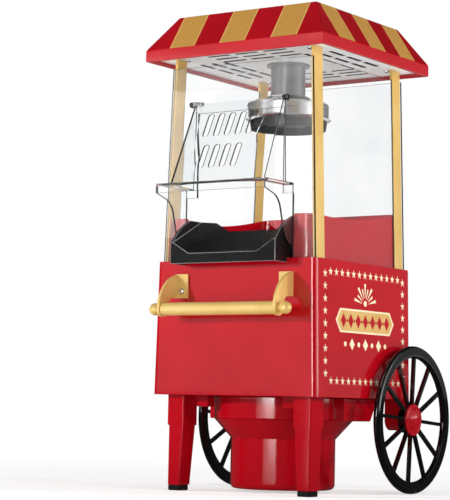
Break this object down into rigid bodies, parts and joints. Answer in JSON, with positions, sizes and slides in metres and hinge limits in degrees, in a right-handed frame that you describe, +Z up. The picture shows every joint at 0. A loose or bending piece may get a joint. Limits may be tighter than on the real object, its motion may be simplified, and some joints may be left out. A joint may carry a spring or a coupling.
{
  "type": "popcorn maker",
  "caption": "Carnival-cart hot-air popcorn maker: red base, clear cabinet, striped lift-off canopy, tilting hood over a serving chute, gold handle and spoked rear wheels.",
  "frame": {"origin": "on the floor under the centre of the bounding box", "axes": "+Z up; -Y is the front, with the chute and the handle; +X is to the right for someone facing the front"},
  "size_m": [0.2024, 0.2614, 0.43],
  "materials": {
    "red_plastic": "glossy red moulding",
    "canopy_paint": "red moulding with gold painted stripes",
    "gold_paint": "satin gold",
    "clear_plastic": "clear",
    "white_plastic": "satin white",
    "kettle_grey": "satin grey",
    "kettle_light": "satin light grey",
    "dark_metal": "satin dark grey",
    "black_plastic": "satin black",
    "wheel_black": "semi-gloss black",
    "rubber": "matt",
    "steel": "plain",
    "chrome": "polished",
    "aluminium": "spun",
    "insulator": "matt"
  },
  "bodies": {
    "cart": {"air_duct": "steel", "axle_bracket_left": "red_plastic", "axle_bracket_right": "red_plastic", "axle_clips": "steel", "axle_pin_left": "steel", "axle_pin_right": "steel", "base_floor": "black_plastic", "base_shell": "red_plastic", "bracket_screws": "chrome", "chute": "black_plastic", "cord_inlet": "black_plastic", "floor_screws": "steel", "foot_pad_left": "rubber", "foot_pad_right": "rubber", "front_panel": "clear_plastic", "handle_bracket_left": "gold_paint", "handle_bracket_right": "gold_paint", "heater_coil": "steel", "heater_support": "insulator", "hood_hinge_pins": "steel", "hopper": "red_plastic", "leg_left": "red_plastic", "leg_right": "red_plastic", "lower_tray": "red_plastic", "motor": "steel", "motor_mount": "dark_metal", "motor_tub": "red_plastic", "popping_chamber": "aluminium", "post_front_left": "gold_paint", "post_front_right": "gold_paint", "post_rear_left": "gold_paint", "post_rear_right": "gold_paint", "rear_panel": "clear_plastic", "side_panel_left": "clear_plastic", "side_panel_right": "clear_plastic", "switch_housing": "black_plastic", "thermal_fuse": "insulator", "thermostat": "steel"},
    "hood": {"hood": "clear_plastic"},
    "canopy": {"canopy_shell": "canopy_paint", "ceiling_plate": "white_plastic", "ceiling_screws": "steel", "kettle_tube": "kettle_grey", "kettle_cap": "kettle_grey", "kettle_body": "kettle_light", "kettle_rim": "kettle_light", "kettle_skirt": "dark_metal"},
    "wheel_left": {"wheel_left": "wheel_black", "hub_cap_left": "red_plastic"},
    "wheel_right": {"wheel_right": "wheel_black", "hub_cap_right": "red_plastic"},
    "handle": {"handle_rod": "gold_paint", "handle_knobs": "gold_paint"},
    "fan": {"motor_shaft": "steel", "fan_impeller": "wheel_black"},
    "rocker": {"switch_rocker": "black_plastic"}
  },
  "joints": [
    {"name": "canopy_lift", "type": "slide", "parent": "cart", "child": "canopy", "axis": [0, 0, 1], "range_m": [0, 0.14]},
    {"name": "hood_tilt", "type": "hinge", "parent": "cart", "child": "hood", "pos_m": [0, -0.08947, 0.346], "axis": [-1, 0, 0], "range_deg": [0, 75]},
    {"name": "wheel_left_spin", "type": "hinge", "parent": "cart", "child": "wheel_left", "pos_m": [-0.095, 0.06342, 0.06725], "axis": [1, 0, 0], "continuous": true},
    {"name": "wheel_right_spin", "type": "hinge", "parent": "cart", "child": "wheel_right", "pos_m": [0.095, 0.06342, 0.06725], "axis": [1, 0, 0], "continuous": true},
    {"name": "handle_spin", "type": "hinge", "parent": "cart", "child": "handle", "pos_m": [0, -0.11238, 0.1606], "axis": [1, 0, 0], "continuous": true},
    {"name": "fan_spin", "type": "hinge", "parent": "cart", "child": "fan", "pos_m": [0, -0.00588, 0.045], "axis": [0, 0, 1], "continuous": true},
    {"name": "switch_tilt", "type": "hinge", "parent": "cart", "child": "rocker", "pos_m": [0.045, 0.07512, 0.115], "axis": [1, 0, 0], "range_deg": [0, 16]}
  ]
}
